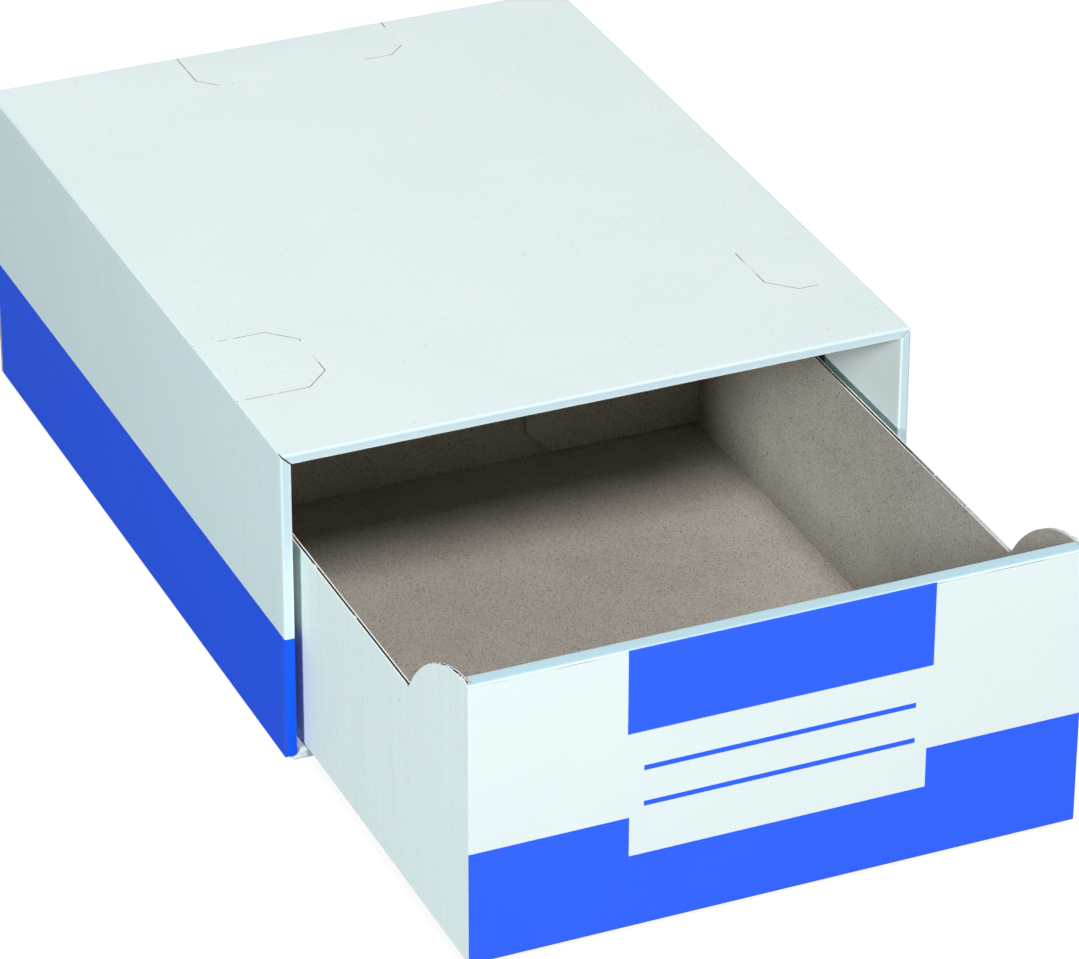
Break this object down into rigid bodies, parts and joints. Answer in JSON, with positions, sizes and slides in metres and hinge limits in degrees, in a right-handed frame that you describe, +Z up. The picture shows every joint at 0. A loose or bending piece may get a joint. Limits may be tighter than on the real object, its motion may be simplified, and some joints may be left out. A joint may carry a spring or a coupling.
{
  "type": "file box with drawer",
  "caption": "Folded board file box with a pull-out drawer, rolled front hems, die-cut stacking tabs in its top and a raised drawer front between quarter-round ears.",
  "frame": {"origin": "centre of the casing's underside", "axes": "+Z up, +Y towards the casing's closed back, so the drawer opens towards -Y; +X to the right seen from the front"},
  "size_m": [0.266, 0.5114, 0.136],
  "materials": {
    "white_board": "smooth white liner",
    "blue_white_board": "white liner with a printed blue band",
    "raw_board": "unbleached, flecked"
  },
  "bodies": {
    "casing": {"casing_bottom": "white_board", "casing_left": "blue_white_board", "casing_right": "blue_white_board", "casing_top": "white_board", "casing_back": "blue_white_board", "back_flap_left": "raw_board", "back_flap_right": "raw_board", "mouth_hem_top": "white_board", "mouth_hem_bottom": "white_board", "mouth_hem_left": "blue_white_board", "mouth_hem_right": "blue_white_board"},
    "drawer": {"drawer_bottom": "raw_board", "drawer_left": "white_board", "drawer_right": "white_board", "drawer_back": "white_board", "drawer_front": "blue_white_board", "drawer_front_roll": "white_board", "drawer_front_inner": "white_board", "front_flap_left": "raw_board", "front_flap_right": "raw_board", "rear_flap_left": "raw_board", "rear_flap_right": "raw_board"},
    "left_tab": {"stack_tab_left": "white_board"},
    "right_tab": {"stack_tab_right": "white_board"},
    "back_tab": {"stack_tab_back": "white_board"}
  },
  "joints": [
    {"name": "drawer_slide", "type": "slide", "parent": "casing", "child": "drawer", "axis": [0, -1, 0], "range_m": [-0.1634, 0.13]},
    {"name": "left_tab_crease", "type": "hinge", "parent": "casing", "child": "left_tab", "pos_m": [-0.133, -0.102, 0.136], "axis": [0, -1, 0], "range_deg": [0, 90]},
    {"name": "right_tab_crease", "type": "hinge", "parent": "casing", "child": "right_tab", "pos_m": [0.133, -0.102, 0.136], "axis": [0, 1, 0], "range_deg": [0, 90]},
    {"name": "back_tab_crease", "type": "hinge", "parent": "casing", "child": "back_tab", "pos_m": [0, 0.174, 0.136], "axis": [-1, 0, 0], "range_deg": [0, 90]}
  ]
}
